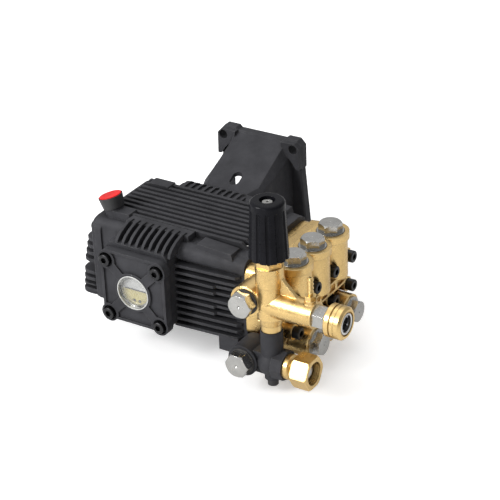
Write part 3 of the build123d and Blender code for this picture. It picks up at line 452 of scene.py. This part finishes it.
FLOOR_GLOW = 0.35
FLOOR_HALF_SIZE = 6.0
SKY_STRENGTH = 1.25
SKY_ASIDE = 0.45                                       # how much of the sky is left on the head's side
SKY_HORIZON, SKY_MIDDLE, SKY_ZENITH = ((0.0, (0.25, 0.25, 0.252, 1)), (0.45, (0.45, 0.45, 0.453, 1)),
                                       (0.95, (1.0, 1.0, 1.0, 1)))
CAMERA_TURN = (32.87, 28.61, 2.28)                     # azimuth, elevation and roll in degrees
CAMERA_PLACE = (0.93821, -1.49358, 0.88392)
SENSOR_WIDTH, LENS = 36.0, 122.41584                   # mm
LAMPS = (("key", (-0.75, -1.30, 0.85), 0.6, 23.0),     # name, place from the part's middle, size, power
         ("overhead", (-0.1, 0.3, 1.6), 0.9, 3.0),
         ("front", (0.35, -1.7, 0.25), 0.4, 4.0))


def studio_floor():
    """Plain pale floor, darker to the part than to the camera, so that the part's undersides stay dark."""
    mesh = bmesh.new()
    bmesh.ops.create_grid(mesh, x_segments=2, y_segments=2, size=FLOOR_HALF_SIZE)
    data = bpy.data.meshes.new("floor")
    mesh.to_mesh(data)
    mesh.free()
    floor = bpy.data.objects.new("floor", data)
    bpy.context.scene.collection.objects.link(floor)
    floor.location = (0, 0, CAD_LOW.z - 0.5 * MM)
    g = Graph("floor")
    seen = g.add("ShaderNodeLightPath").outputs["Is Camera Ray"]
    pale = g.mix(g.noise(3, 2), (0.90, 0.90, 0.90), (0.92, 0.92, 0.92))
    seen, colour = g.math("MULTIPLY", seen, FLOOR_GLOW), g.mix(seen, (0.75, 0.75, 0.75), pale)
    g.finish(colour, 0.9, 0.0, g.noise(40), 0.1 * MM,
             g.add("ShaderNodeNewGeometry").outputs["Normal"], Emission_Color=(1, 1, 1, 1),
             Emission_Strength=seen)
    data.materials.append(g.material)


def studio_sky():
    """Dim at the height of the part, dimmer still on the head's side, and bright overhead."""
    world = bpy.data.worlds.new("studio")
    bpy.context.scene.world = world
    world.use_nodes = True
    tree = world.node_tree
    tree.nodes.clear()
    place = tree.nodes.new("ShaderNodeTexCoord")
    split = tree.nodes.new("ShaderNodeSeparateXYZ")
    ramp = tree.nodes.new("ShaderNodeValToRGB")
    background = tree.nodes.new("ShaderNodeBackground")
    output = tree.nodes.new("ShaderNodeOutputWorld")
    tree.links.new(place.outputs["Generated"], split.inputs[0])
    tree.links.new(split.outputs["Z"], ramp.inputs[0])
    tree.links.new(ramp.outputs[0], background.inputs[0])
    tree.links.new(background.outputs[0], output.inputs[0])
    aside = tree.nodes.new("ShaderNodeMapRange")
    for key, value in (("From Min", 0.1), ("From Max", 0.9), ("To Min", 1.0), ("To Max", SKY_ASIDE)):
        aside.inputs[key].default_value = value
    tree.links.new(split.outputs["X"], aside.inputs["Value"])
    strength = tree.nodes.new("ShaderNodeMath")
    strength.operation = "MULTIPLY"
    strength.inputs[1].default_value = SKY_STRENGTH
    tree.links.new(aside.outputs["Result"], strength.inputs[0])
    tree.links.new(strength.outputs[0], background.inputs[1])
    first, last = ramp.color_ramp.elements
    first.position, first.color = SKY_HORIZON
    last.position, last.color = SKY_ZENITH
    middle = ramp.color_ramp.elements.new(SKY_MIDDLE[0])
    middle.color = SKY_MIDDLE[1]


def studio_lamps():
    middle = (CAD_LOW + CAD_HIGH) / 2
    for name, offset, size, power in LAMPS:
        lamp = bpy.data.lights.new(name, "AREA")
        lamp.shape = "SQUARE"
        lamp.size = size
        lamp.energy = power
        holder = bpy.data.objects.new(name, lamp)
        bpy.context.scene.collection.objects.link(holder)
        holder.location = middle + Vector(offset)
        holder.rotation_euler = (-Vector(offset)).to_track_quat("-Z", "Y").to_euler()
        holder.visible_camera = False


def camera():
    azimuth, elevation, roll = (math.radians(v) for v in CAMERA_TURN)
    back = Vector((math.sin(azimuth) * math.cos(elevation), -math.cos(azimuth) * math.cos(elevation),
                   math.sin(elevation)))
    right = Vector((math.cos(azimuth), math.sin(azimuth), 0))
    up = back.cross(right)
    right, up = (right * math.cos(roll) - up * math.sin(roll), right * math.sin(roll) + up * math.cos(roll))
    data = bpy.data.cameras.new("camera")
    data.sensor_width = SENSOR_WIDTH
    data.lens = LENS
    data.clip_start, data.clip_end = 0.05, 20
    holder = bpy.data.objects.new("camera", data)
    bpy.context.scene.collection.objects.link(holder)
    turn = Matrix((right, up, back)).transposed().to_4x4()
    holder.matrix_world = Matrix.Translation(CAMERA_PLACE) @ turn
    bpy.context.scene.camera = holder


build_all()
studio_floor()
studio_sky()
studio_lamps()
camera()
bpy.context.scene.view_settings.view_transform = "Standard"
